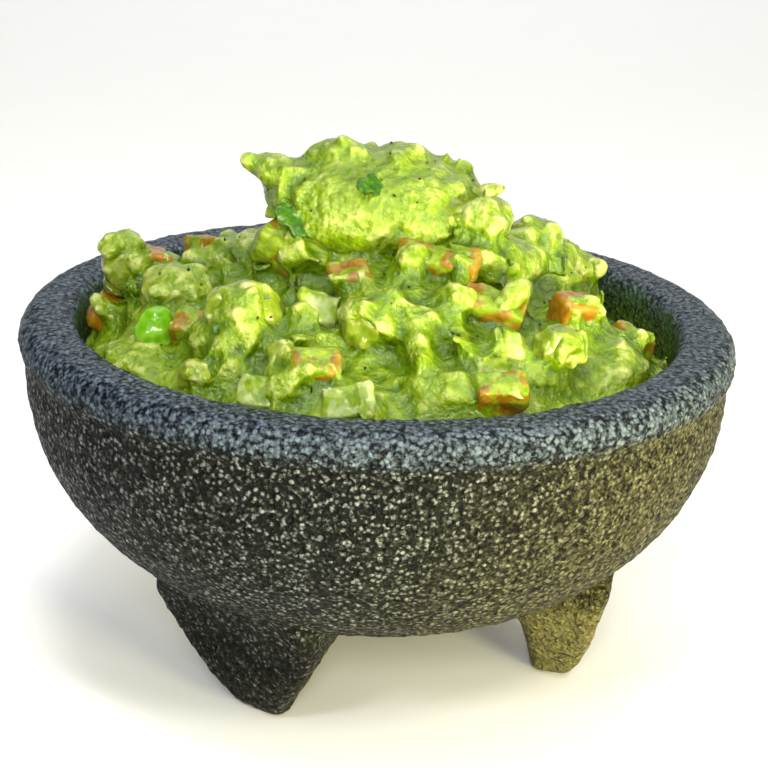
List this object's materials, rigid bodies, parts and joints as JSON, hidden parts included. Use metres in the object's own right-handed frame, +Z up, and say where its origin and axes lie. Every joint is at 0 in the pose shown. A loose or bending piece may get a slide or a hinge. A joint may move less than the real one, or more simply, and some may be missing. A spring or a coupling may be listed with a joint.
{
  "type": "molcajete",
  "caption": "Round mortar on three short tapered legs, cut from one block of dark volcanic stone and heaped with chunky guacamole that lifts out.",
  "frame": {"origin": "on the bowl's axis, in the plane of the three feet", "axes": "+Z up out of the bowl's mouth, -Y towards the front, with one leg near +X"},
  "size_m": [0.204, 0.204, 0.16],
  "materials": {
    "stone": "pitted volcanic stone, satin where the rim is worn",
    "mash": "wet mashed avocado",
    "avocado": "wet soft avocado flesh",
    "tomato": "wet cut tomato",
    "onion": "wet translucent onion",
    "cilantro": "wet herb leaf",
    "chile": "wet glossy chile skin"
  },
  "bodies": {
    "mortar": {"mortar": "stone"},
    "guacamole": {"cilantro_leaf_1": "cilantro", "cilantro_leaf_2": "cilantro", "cilantro_leaf_3": "cilantro", "cilantro_leaf_4": "cilantro", "tomato_dice_1": "tomato", "tomato_dice_2": "tomato", "tomato_dice_3": "tomato", "tomato_dice_4": "tomato", "tomato_dice_5": "tomato", "tomato_dice_6": "tomato", "tomato_dice_7": "tomato", "tomato_dice_8": "tomato", "tomato_dice_9": "tomato", "tomato_dice_10": "tomato", "tomato_dice_11": "tomato", "tomato_dice_12": "tomato", "tomato_dice_13": "tomato", "tomato_dice_14": "tomato", "tomato_dice_15": "tomato", "onion_piece_1": "onion", "onion_piece_2": "onion", "onion_piece_3": "onion", "onion_piece_4": "onion", "onion_piece_5": "onion", "onion_piece_6": "onion", "onion_piece_7": "onion", "onion_piece_8": "onion", "onion_piece_9": "onion", "chile_piece_1": "chile", "chile_piece_2": "chile", "avocado_chunk_1": "avocado", "avocado_chunk_2": "avocado", "avocado_chunk_3": "avocado", "avocado_chunk_4": "avocado", "avocado_chunk_5": "avocado", "avocado_chunk_6": "avocado", "avocado_chunk_7": "avocado", "avocado_chunk_8": "avocado", "avocado_chunk_9": "avocado", "avocado_chunk_10": "avocado", "avocado_chunk_11": "avocado", "avocado_chunk_12": "avocado", "avocado_chunk_13": "avocado", "avocado_chunk_14": "avocado", "mash_heap": "mash", "top_spoonful": "mash"}
  },
  "joints": [
    {"name": "guacamole_lift", "type": "slide", "parent": "mortar", "child": "guacamole", "axis": [0, 0, 1], "range_m": [0, 0.12]}
  ]
}
